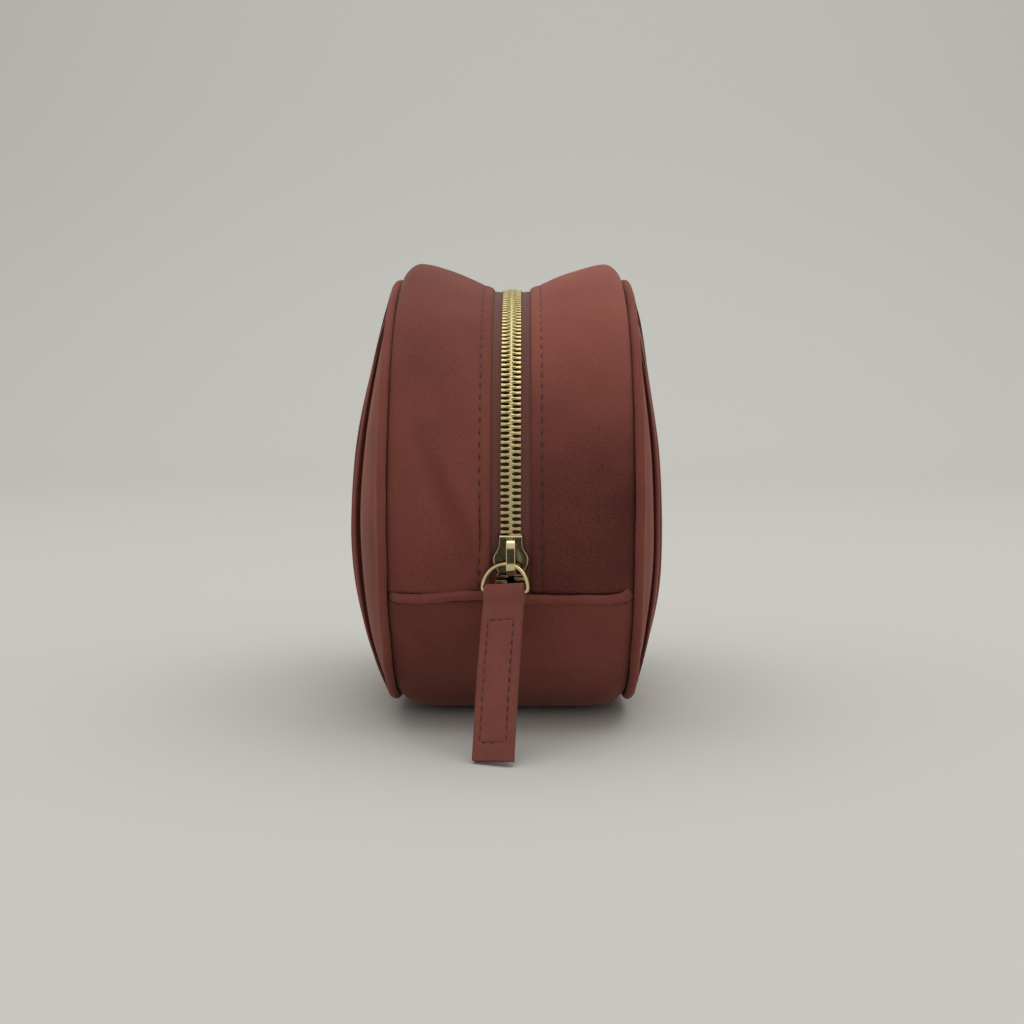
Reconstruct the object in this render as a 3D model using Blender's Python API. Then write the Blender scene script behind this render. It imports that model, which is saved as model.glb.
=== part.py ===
"""A round fabric makeup bag with pleated faces, a wide zipped gusset and a D-ring puller with a fabric tab.

X runs through the bag's thickness, Y along its length and Z up. It stands on its base at Z = 0.
The zip runs over the bag on a circle about the X axis at AXIS_HEIGHT. Along that circle an angle of
0 is the front (-Y) and 90 degrees is the top. Pieces are built about the zip's axis and then placed.
"""

from math import atan2, cos, hypot, pi, radians, sin, sqrt

import bmesh
import bpy
from mathutils import Matrix, Vector

# The bag's outline, in metres.
AXIS_HEIGHT = 0.067
ZIP_RADIUS = 0.074
RIM_RADIUS = 0.076  # the piped seam at the front and back ends
SEAM_RISE = 0.0012  # how much further out the piped seam is at the top
SHOULDER_RISE = 0.0078  # and the shoulder of the zipped strip beside it
BASE_LIFT = 0.0045  # height of the piped seam over the floor
CORNER_RADIUS = 0.045
SEAM_ANGLE = radians(-18)  # where the zipped strips meet the base strip

# Across the bag.
GUSSET_HALF = 0.0367
LIP_HALF = 0.0063  # the folded edge beside the zip
LIP_RADIUS = ZIP_RADIUS + 0.0019
STITCH_HALF, MIDDLE_HALF, SHOULDER_HALF, ROLL_HALF = 0.014, 0.023, 0.0315, 0.0346
FLAT_HALF = 0.026  # half the width of the flat part of the base
EDGE_HALF = 0.031
BASE_CROWN = 0.0005
PIPING_X = 0.0386
PIPING_RADIUS = 0.0016
FACE_X = 0.0406
FACE_BULGE = 0.0122
FACE_SAG = 0.22  # how much fuller the faces are below the middle

# Cloth layers.
FABRIC = 0.0012
FACE_FABRIC = 0.0012
PADDING = 0.002
LINING = 0.0008
FACE_PADDING = (0.0064, 0.0078)  # from and to these depths inside a face, under its pleats
FACE_LINING = (0.0084, 0.0092)
RIM_STEP = 0.3  # how far a layer's rim lies inwards, as a share of its depth
GAP = 0.0003
LAYER_GAP = 0.0006  # between layers that are curved both ways
RIDGE_RADIUS, RIDGE_LIFT = 0.0015, 0.0004
SEAM_HALF_GAP = radians(1.5)

# The zip and its slider.
TEETH_INNER, TEETH_OUTER, TEETH_HALF_HEIGHT = 0.0004, 0.003, 0.0012
TAPE_INNER, TAPE_OUTER, TAPE_HALF = 0.0033, 0.013, 0.0003
TEETH_END = radians(-16.2)
TAPE_END = radians(-18.6)
SLIDER_ANGLE = radians(-8)
SLIDER_LENGTH = 0.0125
SLIDER_NOSE, SLIDER_SHOULDER = 0.0042, 0.0057
SLIDER_TOE, TOE_SHARE = 0.0009, 0.25  # how much the trailing end narrows, and over what share
WEB_HALF, PLATE_EDGE, TURNED_EDGE = 0.0002, 0.0035, 0.0007
PLATE_INSIDE, PLATE_OUTSIDE = 0.0016, 0.0026
BRIDGE_HALF_LENGTH, BRIDGE_TOP, BRIDGE_WIDTH = 0.0048, 0.0064, 0.0028

# The ring and the tab.
WIRE_RADIUS = 0.00065
RING_PIVOT_ANGLE = SLIDER_ANGLE - radians(1.5)
RING_PIVOT_RADIUS = ZIP_RADIUS + 0.0044
RING_ARCH_RADIUS = 0.0067
RING_CORNER = 0.0009
RING_LEAN = radians(12)
RING_PLAY = 0.0006  # between the wire and the hole through the bridge
PULL_TILT = radians(3.4)  # the ring and tab hang a little to one side
PULL_SHIFT = Vector((-0.0013, 0, 0.0002))  # where the ring's arch rests in the bridge
TAB_WIDTH, TAB_THICKNESS = 0.011, 0.0027
TAB_FOLD_RADIUS, TAB_HOLE_RADIUS = 0.0022, 0.00115
TAB_LEAN = radians(25)
TAB_NECK = 0.005  # from the ring's bar to where the folded tab is flat
TAB_CLEARANCE = 0.0008  # over the floor

SIDES = {"left": -1, "right": 1}
AXIS_CENTRE = Vector((0, 0, AXIS_HEIGHT))

for leftover in list(bpy.data.objects):
    bpy.data.objects.remove(leftover)
bag = bpy.data.collections.new("makeup_bag")
bpy.context.scene.collection.children.link(bag)


def material(name, colour, roughness, metallic=0.0):
    made = bpy.data.materials.new(name)
    made.use_nodes = True
    shader = made.node_tree.nodes["Principled BSDF"]
    shader.inputs["Base Color"].default_value = (*colour, 1)
    shader.inputs["Roughness"].default_value = roughness
    shader.inputs["Metallic"].default_value = metallic
    return made


VELVET = (0.155, 0.052, 0.040)
LINING_CLOTH = (0.36, 0.24, 0.20)
FOAM = (0.72, 0.70, 0.66)
BRASS = (0.72, 0.60, 0.36)


def add(name, data, place=AXIS_CENTRE):
    """Put a mesh or a curve in the bag's collection as one piece."""
    piece = bpy.data.objects.new(name, data)
    bag.objects.link(piece)
    piece.location = place
    return piece


# ---- The outline as a radius about the zip's axis, where rise is the sine of the angle ----


def outline(rise, end_radius, base_distance):
    """A circle whose underside is flat, with rounded corners between the two."""
    corner_down = base_distance - CORNER_RADIUS
    corner_out = sqrt((end_radius - CORNER_RADIUS) ** 2 - corner_down**2)
    if rise >= -corner_down / (end_radius - CORNER_RADIUS):
        return end_radius
    if rise <= -base_distance / hypot(corner_out, base_distance):
        return base_distance / -rise
    along = sqrt(1 - rise * rise) * corner_out - rise * corner_down
    return along + sqrt(along * along - corner_out**2 - corner_down**2 + CORNER_RADIUS**2)


def rim(rise):
    """The piped seams."""
    if rise > 0:
        return RIM_RADIUS + SEAM_RISE * rise * rise
    return outline(rise, RIM_RADIUS, AXIS_HEIGHT - BASE_LIFT)


def zip_strip_surface(x, rise):
    """The zipped strip climbs in a straight line from its lip to a shoulder, then rolls down to the seam."""
    shoulder = RIM_RADIUS + SHOULDER_RISE * max(0, rise) ** 2
    climb = max(0, (abs(x) - LIP_HALF) / (SHOULDER_HALF - LIP_HALF))
    if climb < 1:
        return LIP_RADIUS + climb * (shoulder - LIP_RADIUS)
    return shoulder - (shoulder - rim(rise)) * ((abs(x) - SHOULDER_HALF) / (GUSSET_HALF - SHOULDER_HALF)) ** 2


def base_strip_surface(x, rise):
    """The base strip is crowned across, and flat where it stands."""
    crown = 1 - max(0, (abs(x) - FLAT_HALF) / (GUSSET_HALF - FLAT_HALF)) ** 2
    return outline(rise, RIM_RADIUS + BASE_CROWN * crown, AXIS_HEIGHT - BASE_LIFT * (1 - crown))


def rim_surface(x, rise):
    return rim(rise)


# ---- Pieces swept round the zip's axis ----


def swept(name, section, start, sweep, steps, surface, look):
    """Spin a closed section of (x, height over the surface) points, then lay it on the surface."""
    shape = bmesh.new()
    corners = [
        shape.verts.new((x, -(RIM_RADIUS + height) * cos(start), (RIM_RADIUS + height) * sin(start)))
        for x, height in section
    ]
    face = shape.faces.new(corners)
    whole_turn = sweep > 2 * pi - 1e-6
    geometry = list(face.edges) + corners + ([] if whole_turn else [face])
    if whole_turn:
        bmesh.ops.delete(shape, geom=[face], context="FACES_ONLY")
    bmesh.ops.spin(
        shape, geom=geometry, cent=(0, 0, 0), axis=(-1, 0, 0), angle=sweep, steps=steps,
        use_merge=whole_turn,
    )
    bmesh.ops.remove_doubles(shape, verts=shape.verts, dist=1e-6)
    for vertex in shape.verts:
        radius = hypot(vertex.co.y, vertex.co.z)
        rise = vertex.co.z / radius
        moved = (surface(vertex.co.x, rise) + radius - RIM_RADIUS) / radius
        vertex.co.y *= moved
        vertex.co.z *= moved
    bmesh.ops.recalc_face_normals(shape, faces=shape.faces)
    mesh = bpy.data.meshes.new(name)
    shape.to_mesh(mesh)
    shape.free()
    mesh.shade_smooth()
    mesh.set_sharp_from_angle(angle=radians(35))
    mesh.materials.append(look)
    return add(name, mesh)


def layer(inner, outer, top, thickness, side, points=()):
    """A section of one cloth layer from x = inner to outer, whose top lies at this height."""
    across = [inner, *points, outer]
    upper = [(side * x, top) for x in across]
    return upper + [(side * x, top - thickness) for x in reversed(across)]


ZIP_SWEEP = pi - 2 * SEAM_ANGLE
zip_start = SEAM_ANGLE + SEAM_HALF_GAP
zip_sweep = ZIP_SWEEP - 2 * SEAM_HALF_GAP
tape_top = ZIP_RADIUS + TAPE_HALF - LIP_RADIUS
for side_name, side in SIDES.items():
    velvet = material(f"{side_name}_strip_velvet", VELVET, 0.9)
    swept(
        f"{side_name}_zip_strip",
        layer(LIP_HALF, GUSSET_HALF, 0, FABRIC, side, (STITCH_HALF, MIDDLE_HALF, SHOULDER_HALF, ROLL_HALF)),
        zip_start, zip_sweep, 44, zip_strip_surface, velvet,
    )
    swept(
        f"{side_name}_zip_strip_lining",
        layer(LIP_HALF, GUSSET_HALF, tape_top - 2 * TAPE_HALF - GAP, LINING, side,
              (STITCH_HALF, SHOULDER_HALF, ROLL_HALF)),
        zip_start, zip_sweep, 32, zip_strip_surface, material(f"{side_name}_lining", LINING_CLOTH, 0.7),
    )
    swept(
        f"{side_name}_zip_tape",
        layer(TAPE_INNER, TAPE_OUTER, tape_top, 2 * TAPE_HALF, side, (LIP_HALF,)),
        TAPE_END, pi - 2 * TAPE_END, 60, zip_strip_surface,
        material(f"{side_name}_tape_weave", (0.11, 0.036, 0.030), 0.8),
    )
    swept(
        f"{side_name}_teeth_row",
        layer(TEETH_INNER, TEETH_OUTER, ZIP_RADIUS + TEETH_HALF_HEIGHT - LIP_RADIUS,
              2 * TEETH_HALF_HEIGHT, side),
        TEETH_END, pi - 2 * TEETH_END, 90, zip_strip_surface,
        material(f"{side_name}_teeth_brass", BRASS, 0.3, 1.0),
    )
    ring_section = [
        (side * PIPING_X + PIPING_RADIUS * cos(turn * pi / 4), PIPING_RADIUS * sin(turn * pi / 4))
        for turn in range(8)
    ]
    swept(f"{side_name}_piping", ring_section, 0, 2 * pi, 56, rim_surface, velvet)

base_start = pi - SEAM_ANGLE + SEAM_HALF_GAP
base_sweep = pi + 2 * SEAM_ANGLE - 2 * SEAM_HALF_GAP
base_points = (-EDGE_HALF, -FLAT_HALF, FLAT_HALF, EDGE_HALF)
swept(
    "base_strip", layer(-GUSSET_HALF, GUSSET_HALF, 0, FABRIC, 1, base_points),
    base_start, base_sweep, 36, base_strip_surface, material("base_velvet", VELVET, 0.9),
)
swept(
    "base_strip_lining",
    layer(-GUSSET_HALF, GUSSET_HALF, -FABRIC - PADDING - 2 * LAYER_GAP, LINING, 1, base_points),
    base_start, base_sweep, 24, base_strip_surface, material("base_lining", LINING_CLOTH, 0.7),
)
swept(
    "base_strip_padding",
    layer(-GUSSET_HALF, GUSSET_HALF, -FABRIC - LAYER_GAP, PADDING, 1, base_points),
    base_start, base_sweep, 24, base_strip_surface, material("base_foam", FOAM, 0.95),
)


# ---- The faces: domed layers inside each other ----


def face_layer(name, side, outside, inside, around, rings, look):
    """Turn the space between two nested domes about the zip's axis, and fit it to the rim."""
    shape = bmesh.new()
    walls = []
    for inset in (outside, inside):
        turns = [ring / rings * pi / 2 for ring in range(rings + 1)]
        walls.append([
            shape.verts.new((
                side * (FACE_X - RIM_STEP * inset + (FACE_BULGE - inset) * cos(turn) ** 2),
                -(RIM_RADIUS - inset) * sin(turn),
                0,
            ))
            for turn in turns
        ])
    outer, inner = walls
    edges = [shape.edges.new(pair) for wall in walls for pair in zip(wall, wall[1:])]
    edges.append(shape.edges.new((outer[-1], inner[-1])))
    bmesh.ops.spin(
        shape, geom=outer + inner + edges, cent=(0, 0, 0), axis=(-1, 0, 0), angle=2 * pi,
        steps=around, use_merge=True,
    )
    bmesh.ops.remove_doubles(shape, verts=shape.verts, dist=1e-6)
    for vertex in shape.verts:
        radius = hypot(vertex.co.y, vertex.co.z)
        fit = rim(vertex.co.z / radius) / RIM_RADIUS if radius > 0 else 1
        vertex.co.y *= fit
        vertex.co.z *= fit
        fullness = 1 - FACE_SAG * vertex.co.z / RIM_RADIUS
        vertex.co.x = side * (FACE_X + (abs(vertex.co.x) - FACE_X) * fullness)
    bmesh.ops.recalc_face_normals(shape, faces=shape.faces)
    mesh = bpy.data.meshes.new(name)
    shape.to_mesh(mesh)
    shape.free()
    mesh.shade_smooth()
    mesh.set_sharp_from_angle(angle=radians(60))
    mesh.materials.append(look)
    return add(name, mesh)


for side_name, side in SIDES.items():
    face_layer(
        f"{side_name}_face", side, 0, FACE_FABRIC, 40, 6,
        material(f"{side_name}_face_velvet", VELVET, 0.9),
    )
    face_layer(
        f"{side_name}_face_padding", side, *FACE_PADDING, 28, 5,
        material(f"{side_name}_foam", FOAM, 0.95),
    )
    face_layer(
        f"{side_name}_face_lining", side, *FACE_LINING, 28, 5,
        material(f"{side_name}_face_lining_cloth", LINING_CLOTH, 0.7),
    )


# ---- The seams across the gusset, where both strips are turned in over a cord ----


def wire(name, points, radius, sides, closed, place, look):
    """A tube of round section through these points."""
    path = bpy.data.curves.new(name, "CURVE")
    path.dimensions = "3D"
    path.bevel_depth = radius
    path.bevel_resolution = sides
    path.use_fill_caps = True
    spline = path.splines.new("POLY")
    spline.points.add(len(points) - 1)
    for point, position in zip(spline.points, points):
        point.co = (*position, 1)
    spline.use_cyclic_u = closed
    path.materials.append(look)
    return add(name, path, place)


ridge_distance = RIM_RADIUS + RIDGE_LIFT
for end_name, end in {"front": -1, "rear": 1}.items():
    across = [
        (x, end * ridge_distance * cos(SEAM_ANGLE), ridge_distance * sin(SEAM_ANGLE))
        for x in (-GUSSET_HALF + GAP, 0, GUSSET_HALF - GAP)
    ]
    wire(f"{end_name}_seam_ridge", across, RIDGE_RADIUS, 1, False, AXIS_CENTRE,
         material(f"{end_name}_ridge_velvet", VELVET, 0.9))


# ---- The slider ----


def slider_half_width(along):
    """Narrow at the nose, which trails when the bag is closed, and widest at the shoulders."""
    place = along / SLIDER_LENGTH + 0.5
    belly = sin(pi * min(1, (1 - place) / 0.62) / 2) ** 2
    toe = SLIDER_TOE * max(0, TOE_SHARE - place) / TOE_SHARE
    return SLIDER_NOSE + (SLIDER_SHOULDER - SLIDER_NOSE) * belly - toe


def slider_section():
    """Two plates with turned-in edges, joined by the web that runs between the two rows of teeth."""
    quarter = [
        (SLIDER_SHOULDER, PLATE_OUTSIDE), (SLIDER_SHOULDER, TURNED_EDGE), (PLATE_EDGE, TURNED_EDGE),
        (PLATE_EDGE, PLATE_INSIDE), (WEB_HALF, PLATE_INSIDE),
    ]
    right = quarter + [(x, -height) for x, height in reversed(quarter)]
    return right + [(-x, height) for x, height in reversed(right)]


slider_sweep = SLIDER_LENGTH / ZIP_RADIUS
slider_body = swept(
    "slider_body",
    [(x, ZIP_RADIUS + height - RIM_RADIUS) for x, height in slider_section()],
    SLIDER_ANGLE - slider_sweep / 2, slider_sweep, 10, lambda x, rise: RIM_RADIUS,
    material("slider_brass", BRASS, 0.18, 1.0),
)
for vertex in slider_body.data.vertices:
    if abs(vertex.co.x) > 0.9 * SLIDER_SHOULDER:
        along = (atan2(vertex.co.z, -vertex.co.y) - SLIDER_ANGLE) * ZIP_RADIUS
        vertex.co.x *= slider_half_width(along) / SLIDER_SHOULDER


def flat_shape(name, outlines, thickness, turn, place, look):
    """A flat outline, with holes where it has more than one, extruded to its thickness."""
    curve = bpy.data.curves.new(name, "CURVE")
    curve.dimensions = "2D"
    curve.fill_mode = "BOTH"
    curve.extrude = thickness / 2
    for points in outlines:
        spline = curve.splines.new("POLY")
        spline.points.add(len(points) - 1)
        for point, (x, y) in zip(spline.points, points):
            point.co = (x, y, 0, 1)
        spline.use_cyclic_u = True
    curve.materials.append(look)
    piece = add(name, curve, place)
    piece.rotation_euler = turn.to_euler()
    return piece


def circle(radius, count, start=0.0, end=2 * pi):
    """Points on a circle about the origin, without the last one of a whole turn."""
    whole = abs(end - start - 2 * pi) < 1e-9
    span = count if whole else count - 1
    return [
        (radius * cos(start + (end - start) * i / span), radius * sin(start + (end - start) * i / span))
        for i in range(count)
    ]


def along_zip(angle):
    """The directions up the zip and out of the bag at this angle, and the X axis."""
    up = Vector((0, sin(angle), cos(angle)))
    out = Vector((0, -cos(angle), sin(angle)))
    return Matrix((up, out, Vector((1, 0, 0)))).transposed()


bridge_foot = PLATE_OUTSIDE + GAP
bridge_span = BRIDGE_TOP - bridge_foot
hump = [
    (BRIDGE_HALF_LENGTH * cos(turn * pi / 12), bridge_foot + bridge_span * sin(turn * pi / 12) ** 0.55)
    for turn in range(13)
]
hole_along = (RING_PIVOT_ANGLE - SLIDER_ANGLE) * RING_PIVOT_RADIUS
hole = [
    (x + hole_along, y + RING_PIVOT_RADIUS - ZIP_RADIUS) for x, y in circle(WIRE_RADIUS + RING_PLAY, 12)
]
frame = along_zip(SLIDER_ANGLE)
flat_shape(
    "slider_bridge", [hump, hole], BRIDGE_WIDTH, frame, AXIS_CENTRE + frame @ Vector((0, ZIP_RADIUS, 0)),
    material("bridge_brass", BRASS, 0.18, 1.0),
)


# ---- The D-ring and the fabric tab folded over its straight bar ----

ring_pivot = AXIS_CENTRE + RING_PIVOT_RADIUS * Vector((0, -cos(RING_PIVOT_ANGLE), sin(RING_PIVOT_ANGLE)))


def hanging(lean):
    """Directions down along a hanging piece, out of its back, and across, tilted to one side."""
    down = Vector((0, -sin(lean), -cos(lean)))
    back = Vector((0, cos(lean), -sin(lean)))
    frame = Matrix((down, back, Vector((1, 0, 0)))).transposed()
    return frame @ Matrix.Rotation(PULL_TILT, 3, "Y")


ring_frame = hanging(RING_LEAN)
ring_height = RING_ARCH_RADIUS + RING_CORNER
arch = [(RING_ARCH_RADIUS - x, y) for x, y in circle(RING_ARCH_RADIUS, 17, -pi / 2, pi / 2)]
corner_centre = RING_ARCH_RADIUS - RING_CORNER
first_corner = [
    (RING_ARCH_RADIUS + x, corner_centre + y) for x, y in circle(RING_CORNER, 4, pi / 2, 0)
][1:]
half_bar = first_corner + [(x, -y) for x, y in reversed(first_corner)]
ring_points = [
    ring_frame @ Vector((x, 0, y)) + PULL_SHIFT for x, y in arch + half_bar
]
wire("d_ring", ring_points, WIRE_RADIUS, 2, True, ring_pivot, material("ring_brass", BRASS, 0.2, 1.0))

bar_centre = ring_pivot + ring_frame @ Vector((ring_height, 0, 0)) + PULL_SHIFT
tab_frame = hanging(TAB_LEAN)
half = TAB_THICKNESS / 2
tab_reach = (bar_centre.z - half * sin(TAB_LEAN)) / cos(TAB_LEAN) - TAB_CLEARANCE
fold = circle(TAB_FOLD_RADIUS, 13, pi / 2, 3 * pi / 2)
tab_side = [(TAB_NECK, half), *fold, (TAB_NECK, -half), (tab_reach, -half), (tab_reach, half)]
flat_shape(
    "pull_tab", [tab_side, circle(TAB_HOLE_RADIUS, 12)], TAB_WIDTH, tab_frame, bar_centre,
    material("tab_velvet", VELVET, 0.9),
)
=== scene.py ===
"""A round velvet makeup bag: pleated faces, a wide zipped gusset, a D-ring puller and a fabric tab.

X runs through the bag's thickness, Y along its length with the slider towards -Y, and Z up. Points
round the zip are given by an angle about the zip's axis: 0 at the front and 90 degrees at the top.
"""

from math import atan2, cos, hypot, pi, radians, sin, sqrt

import bmesh
import bpy
from mathutils import Matrix, Vector, noise


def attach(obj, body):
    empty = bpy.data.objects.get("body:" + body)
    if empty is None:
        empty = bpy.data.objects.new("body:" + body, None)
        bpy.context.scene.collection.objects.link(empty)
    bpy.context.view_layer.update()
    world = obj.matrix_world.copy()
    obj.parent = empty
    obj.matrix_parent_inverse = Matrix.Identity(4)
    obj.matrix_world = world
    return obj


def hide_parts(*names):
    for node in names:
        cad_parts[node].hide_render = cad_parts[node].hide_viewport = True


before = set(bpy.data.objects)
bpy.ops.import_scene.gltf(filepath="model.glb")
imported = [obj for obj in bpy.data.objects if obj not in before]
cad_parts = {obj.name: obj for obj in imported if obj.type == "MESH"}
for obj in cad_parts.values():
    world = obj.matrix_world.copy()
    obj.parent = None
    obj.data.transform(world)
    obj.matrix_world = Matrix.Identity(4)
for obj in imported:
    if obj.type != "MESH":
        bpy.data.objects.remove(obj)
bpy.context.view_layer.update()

# ---- The zipped strips of the gusset ----
# Two strips of polyester velvet run over the bag from seam to seam. Each is folded under beside the
# zip, topstitched through its tape, and sewn into the piped seam at its outer edge.

AXIS_HEIGHT = 0.067
ZIP_RADIUS = 0.074
RIM_RADIUS = 0.076
SEAM_RISE = 0.0012
SHOULDER_RISE = 0.0084
BASE_LIFT = 0.0045
CORNER_RADIUS = 0.045
SEAM_ANGLE = radians(-18)
LIP_HALF = 0.0063
LIP_RADIUS = ZIP_RADIUS + 0.0019
SHOULDER_HALF = 0.0315
GUSSET_HALF = 0.0367
TOPSTITCH_HALF = 0.0094
TOPSTITCH_PITCH = 0.0038
CLOTH_THICKNESS = 0.0009
SIDES = {"left": -1, "right": 1}


def on_bag(x, angle, radius):
    """The point at this place across the bag, angle about the zip's axis and distance from it."""
    return Vector((x, -radius * cos(angle), AXIS_HEIGHT + radius * sin(angle)))


def outline(rise, end_radius, base_distance):
    """A circle whose underside is flat, with rounded corners between the two. rise is sin(angle)."""
    corner_down = base_distance - CORNER_RADIUS
    corner_out = sqrt((end_radius - CORNER_RADIUS) ** 2 - corner_down**2)
    if rise >= -corner_down / (end_radius - CORNER_RADIUS):
        return end_radius
    if rise <= -base_distance / hypot(corner_out, base_distance):
        return base_distance / -rise
    along = sqrt(1 - rise * rise) * corner_out - rise * corner_down
    return along + sqrt(along * along - corner_out**2 - corner_down**2 + CORNER_RADIUS**2)


def rim(angle):
    """The distance of the piped seams from the zip's axis."""
    rise = sin(angle)
    if rise > 0:
        return RIM_RADIUS + SEAM_RISE * rise * rise
    return outline(rise, RIM_RADIUS, AXIS_HEIGHT - BASE_LIFT)


def eased(value, start, end):
    """0 before start and 1 after end, with a smooth change between them."""
    share = min(1.0, max(0.0, (value - start) / (end - start)))
    return share * share * (3 - 2 * share)


def hill(value, middle, width):
    """1 at the middle, falling away smoothly over about this width."""
    return 2.718 ** (-(((value - middle) / width) ** 2))


def smooth_path(points, share):
    """A point on the smooth curve through evenly spaced points, at a share from 0 to 1 along it."""
    place = share * (len(points) - 1)
    first = min(int(place), len(points) - 2)
    t = place - first
    before, start, end, after = (
        points[min(max(first + step, 0), len(points) - 1)] for step in (-1, 0, 1, 2)
    )
    return [
        b + t * ((c - a) / 2 + t * (a - 2.5 * b + 2 * c - d / 2 + t * (1.5 * (b - c) + (d - a) / 2)))
        for a, b, c, d in zip(before, start, end, after)
    ]


def laid_grid(columns, rows, width, length, place, tone_and_painted_light=None):
    """A grid laid on place(u, v), with its own layout in metres and a per-vertex tone that can carry
    painted light.
    """
    shape = bmesh.new()
    bmesh.ops.create_grid(shape, x_segments=columns, y_segments=rows, size=0.5)
    layout = shape.loops.layers.uv.new("cloth")
    for face in shape.faces:
        for loop in face.loops:
            loop[layout].uv = (loop.vert.co.x + 0.5) * width, (loop.vert.co.y + 0.5) * length
    # Per-vertex tone: random tone on the velvet, painted light and shade on the zipped strips, painted
    # reflection on the slider.
    shade = shape.verts.layers.float.new("tone_and_painted_light")
    for vertex in shape.verts:
        u, v = vertex.co.x + 0.5, vertex.co.y + 0.5
        vertex.co = place(u, v)
        vertex[shade] = tone_and_painted_light(u, v) if tone_and_painted_light else 0.5
    bmesh.ops.remove_doubles(shape, verts=shape.verts, dist=2e-6)
    shape.normal_update()
    middle = sum((vertex.co for vertex in shape.verts), Vector()) / len(shape.verts)
    out = sum(
        (face.calc_center_median() - middle).dot(face.normal) * face.calc_area()
        for face in shape.faces
    )
    if out < 0:
        bmesh.ops.reverse_faces(shape, faces=shape.faces)
    return shape


def as_piece(name, shape, look, nodes=(), body="bag", sharp=60):
    """Make a finished bmesh one piece, standing for these nodes and moving with this body."""
    mesh = bpy.data.meshes.new(name)
    shape.to_mesh(mesh)
    shape.free()
    mesh.materials.append(look)
    mesh.shade_smooth()
    mesh.set_sharp_from_angle(angle=radians(sharp))
    made = bpy.data.objects.new(name, mesh)
    bpy.context.scene.collection.objects.link(made)
    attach(made, body)
    if nodes:
        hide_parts(*nodes)
    return made


def thicken(made, thickness):
    """Give an open sheet its thickness, inwards from the surface that shows."""
    solid = made.modifiers.new("thickness", "SOLIDIFY")
    solid.thickness = thickness
    solid.offset = -1


def linear(colour):
    """An sRGB hex colour as linear red, green, blue and alpha."""
    parts = [int(colour[i : i + 2], 16) / 255 for i in (1, 3, 5)]
    return (*(c / 12.92 if c <= 0.04045 else ((c + 0.055) / 1.055) ** 2.4 for c in parts), 1.0)


def node(tree, kind, inputs=None, **settings):
    """Add a node, set its properties, and set or link its inputs by name or number."""
    made = tree.nodes.new("ShaderNode" + kind)
    for key, value in settings.items():
        setattr(made, key, value)
    for key, value in (inputs or {}).items():
        if isinstance(value, bpy.types.NodeSocket):
            tree.links.new(value, made.inputs[key])
        else:
            made.inputs[key].default_value = value
    return made


def new_look(name):
    """An empty node material and its tree."""
    look = bpy.data.materials.new(name)
    look.use_nodes = True
    look.node_tree.nodes.clear()
    return look, look.node_tree


WALE_PITCH = 0.00045


def velvet(name, dark, light):
    """Brushed polyester velvet: a short pile that catches light at its edges, over a fine knit.

    The knit's wales are drawn 0.45 mm apart, and the pile leans one way or the other in soft patches. A
    per-vertex tone adds to the colour, and on the zipped strips that tone is painted light and shade.
    """
    look, tree = new_look(name)
    layout = node(tree, "UVMap", uv_map="cloth")
    place = node(tree, "TexCoord")
    knit = node(
        tree, "Mapping",
        {"Vector": layout.outputs[0], "Scale": (1 / WALE_PITCH, 0.8 / WALE_PITCH, 1)},
    )
    tufts = node(tree, "TexVoronoi", {"Vector": knit.outputs[0], "Scale": 1.0, "Randomness": 0.75},
                 voronoi_dimensions="2D")
    patches = node(tree, "TexNoise", {"Vector": place.outputs["Object"], "Scale": 75.0, "Detail": 2.0})
    fibres = node(tree, "TexNoise", {"Vector": place.outputs["Object"], "Scale": 2600.0, "Detail": 1.0})
    tone_and_painted_light = node(tree, "Attribute", attribute_name="tone_and_painted_light")
    lean = node(tree, "Math", {0: patches.outputs["Fac"], 1: 0.3, 2: -0.15}, operation="MULTIPLY_ADD")
    shade = node(tree, "Math", {0: tone_and_painted_light.outputs["Fac"], 1: lean.outputs[0]}, operation="ADD")
    pits = node(tree, "Math", {0: tufts.outputs["Distance"], 1: -0.26, 2: 0.1}, operation="MULTIPLY_ADD")
    speckle = node(tree, "Math", {0: shade.outputs[0], 1: pits.outputs[0]}, operation="ADD")
    fuzz = node(tree, "Math", {0: fibres.outputs["Fac"], 1: 0.3, 2: -0.15}, operation="MULTIPLY_ADD")
    total = node(tree, "Math", {0: speckle.outputs[0], 1: fuzz.outputs[0]}, operation="ADD",
                 use_clamp=True)
    colour = node(tree, "Mix", {"Factor": total.outputs[0], "A": linear(dark), "B": linear(light)},
                  data_type="RGBA")
    relief = node(tree, "Math", {0: tufts.outputs["Distance"], 1: fuzz.outputs[0]}, operation="SUBTRACT")
    bump = node(tree, "Bump", {"Height": relief.outputs[0], "Strength": 0.14, "Distance": 0.00012},
                invert=True)
    shader = node(
        tree, "BsdfPrincipled",
        {"Base Color": colour.outputs["Result"], "Normal": bump.outputs[0], "Roughness": 0.85,
         "Specular IOR Level": 0.2, "Sheen Weight": 0.22, "Sheen Roughness": 0.4,
         "Sheen Tint": linear("#f2b8a6")},
    )
    node(tree, "OutputMaterial", {"Surface": shader.outputs[0]})
    return look


VELVET_DARK, VELVET_LIGHT = "#48211b", "#8d4e43"
strip_velvet = velvet("brushed_velvet", VELVET_DARK, VELVET_LIGHT)

# From the raw edge under the fold, over the lip, to the groove beside the piping: x and drop in mm.
STRIP_ACROSS = [
    (9.0, 1.5), (7.6, 1.45), (6.7, 1.3), (6.3, 1.0), (6.2, 0.65), (6.45, 0.35), (7.0, 0.15),
    (7.8, 0.05), (8.6, 0.08), (9.1, 0.22), (9.4, 0.32), (9.7, 0.22), (10.3, 0.05), (11.5, -0.1),
    (14.0, -0.35), (17.5, -0.5), (21.0, -0.55), (24.5, -0.5), (27.5, -0.4), (30.0, -0.25),
    (32.0, -0.15), (33.6, -0.05), (34.9, 0.1), (35.9, 0.3), (36.7, 0.65), (37.25, 1.25), (37.5, 2.1),
]
STRIP_LENGTH = ZIP_RADIUS * (pi - 2 * SEAM_ANGLE)


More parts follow.
